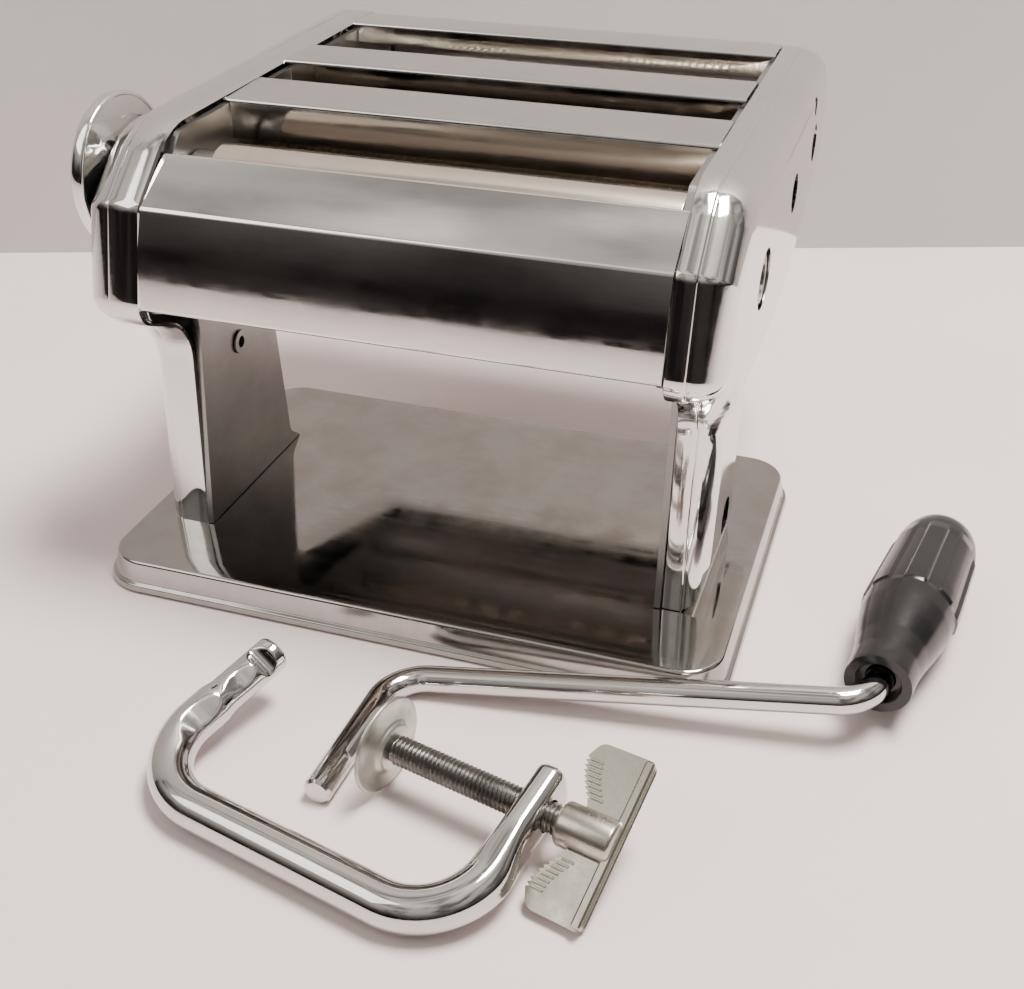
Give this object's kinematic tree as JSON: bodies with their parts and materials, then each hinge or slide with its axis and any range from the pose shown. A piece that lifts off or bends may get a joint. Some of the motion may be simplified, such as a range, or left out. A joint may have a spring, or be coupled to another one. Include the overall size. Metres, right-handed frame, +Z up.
{
  "type": "hand-cranked pasta roller machine",
  "caption": "Hand-cranked sheet roller and cutter with chromed end housings on legs, a base tray, a thickness knob, a loose bent crank with a black grip and a loose table clamp.",
  "frame": {"origin": "on the table top, under the middle of the box round the whole set (machine, loose crank and loose clamp)", "axes": "+X along the rollers towards the crank side, +Y from the front to the rear of the machine, +Z up"},
  "size_m": [0.2744, 0.3059, 0.1481],
  "materials": {
    "chrome": "polished chrome plate with fine scratches and finger marks",
    "plate_steel": "dull rolled steel sheet",
    "roller_steel": "ground steel",
    "gear_steel": "plain machined steel",
    "zinc_plate": "yellowed zinc plate",
    "bush_plastic": "moulded, off-white",
    "grip_plastic": "moulded black, ribbed",
    "foot_rubber": "black, dusty"
  },
  "bodies": {
    "root": {"base_tray": "chrome", "side_cover_left": "chrome", "side_cover_right": "chrome", "front_cover": "chrome", "slot_bar_front": "chrome", "slot_bar_rear": "chrome", "rear_cover": "chrome", "foot_front_left": "foot_rubber", "foot_front_right": "foot_rubber", "foot_rear_left": "foot_rubber", "foot_rear_right": "foot_rubber", "side_plate_left": "plate_steel", "plate_eyelet_left": "plate_steel", "drive_bush_left": "bush_plastic", "side_plate_right": "plate_steel", "plate_eyelet_right": "plate_steel", "drive_bush_right": "bush_plastic", "tie_rod_front": "plate_steel", "tie_rod_middle": "plate_steel", "tie_rod_rear": "plate_steel", "scraper_front": "plate_steel", "scraper_rear": "plate_steel", "comb_fine_front": "plate_steel", "comb_fine_rear": "plate_steel", "comb_wide_front": "plate_steel", "comb_wide_rear": "plate_steel", "fine_bush_front_left": "bush_plastic", "fine_bush_front_right": "bush_plastic", "fine_bush_rear_left": "bush_plastic", "fine_bush_rear_right": "bush_plastic", "wide_bush_front_left": "bush_plastic", "wide_bush_front_right": "bush_plastic", "wide_bush_rear_left": "bush_plastic", "wide_bush_rear_right": "bush_plastic", "knob_bush": "bush_plastic"},
    "drive_roller_body": {"drive_roller": "roller_steel", "drive_gear": "gear_steel"},
    "adjust_carriage": {"adjust_shaft": "gear_steel"},
    "adjust_roller_body": {"adjust_roller": "roller_steel", "adjust_gear": "gear_steel"},
    "fine_rear_body": {"fine_cutter_rear": "roller_steel", "fine_gear_rear": "gear_steel"},
    "fine_front_body": {"fine_cutter_front": "roller_steel", "fine_gear_front": "gear_steel"},
    "wide_rear_body": {"wide_cutter_rear": "roller_steel", "wide_gear_rear": "gear_steel"},
    "wide_front_body": {"wide_cutter_front": "roller_steel", "wide_gear_front": "gear_steel"},
    "knob_shaft_body": {"knob_shaft": "gear_steel", "knob_spring": "gear_steel"},
    "knob_cap_body": {"knob_cap": "chrome"},
    "crank": {"crank_rod": "chrome"},
    "crank_grip_body": {"crank_grip": "grip_plastic"},
    "clamp": {"clamp_frame": "chrome"},
    "clamp_pad_body": {"clamp_pad": "zinc_plate"},
    "clamp_screw_body": {"clamp_screw": "gear_steel", "clamp_wing": "zinc_plate"}
  },
  "joints": [
    {"name": "drive_spin", "type": "hinge", "parent": "root", "child": "drive_roller_body", "pos_m": [-0.0306, 0.0163, 0.107], "axis": [1, 0, 0], "continuous": true},
    {"name": "knob_turn", "type": "hinge", "parent": "root", "child": "knob_shaft_body", "pos_m": [-0.1206, -0.0024, 0.1246], "axis": [-1, 0, 0], "range_deg": [0, 180.5]},
    {"name": "knob_pull", "type": "slide", "parent": "knob_shaft_body", "child": "knob_cap_body", "axis": [-1, 0, 0], "range_m": [0, 0.0035], "stiffness_N_per_m": 800, "springref_m": -0.005},
    {"name": "adjust_slide", "type": "slide", "parent": "root", "child": "adjust_carriage", "axis": [0, -0.7281, 0.6855], "range_m": [0, 0.0026]},
    {"name": "adjust_spin", "type": "hinge", "parent": "adjust_carriage", "child": "adjust_roller_body", "pos_m": [-0.0306, -0.00145, 0.12371], "axis": [1, 0, 0], "continuous": true},
    {"name": "fine_rear_spin", "type": "hinge", "parent": "root", "child": "fine_rear_body", "pos_m": [-0.0306, 0.0664, 0.116], "axis": [1, 0, 0], "continuous": true},
    {"name": "fine_front_spin", "type": "hinge", "parent": "root", "child": "fine_front_body", "pos_m": [-0.0306, 0.0444, 0.116], "axis": [1, 0, 0], "continuous": true},
    {"name": "wide_rear_spin", "type": "hinge", "parent": "root", "child": "wide_rear_body", "pos_m": [-0.0306, 0.1142, 0.118], "axis": [1, 0, 0], "continuous": true},
    {"name": "wide_front_spin", "type": "hinge", "parent": "root", "child": "wide_front_body", "pos_m": [-0.0306, 0.0922, 0.118], "axis": [1, 0, 0], "continuous": true},
    {"name": "crank_lift", "type": "slide", "parent": "root", "child": "crank", "axis": [0, 0, 1], "range_m": [0, 0.15]},
    {"name": "grip_spin", "type": "hinge", "parent": "crank", "child": "crank_grip_body", "pos_m": [0.1131, -0.038, 0.0146], "axis": [0.1536, 0.9881, 0], "continuous": true},
    {"name": "clamp_lift", "type": "slide", "parent": "root", "child": "clamp", "axis": [0, 0, 1], "range_m": [0, 0.15]},
    {"name": "pad_slide", "type": "slide", "parent": "clamp", "child": "clamp_pad_body", "axis": [0.9728, -0.2317, 0], "range_m": [0, 0.0275]},
    {"name": "screw_turn", "type": "hinge", "parent": "clamp_pad_body", "child": "clamp_screw_body", "pos_m": [-0.00686, -0.10319, 0.01375], "axis": [0.9728, -0.2317, 0], "range_deg": [0, 7925]}
  ],
  "couplings": [
    {"joint": "adjust_spin", "follows": "drive_spin", "ratio": -1},
    {"joint": "knob_turn", "follows": "adjust_slide", "rad_per_m": 1208.3},
    {"joint": "fine_front_spin", "follows": "fine_rear_spin", "ratio": -1},
    {"joint": "wide_front_spin", "follows": "wide_rear_spin", "ratio": -1},
    {"joint": "screw_turn", "follows": "pad_slide", "rad_per_m": 5026.5}
  ]
}
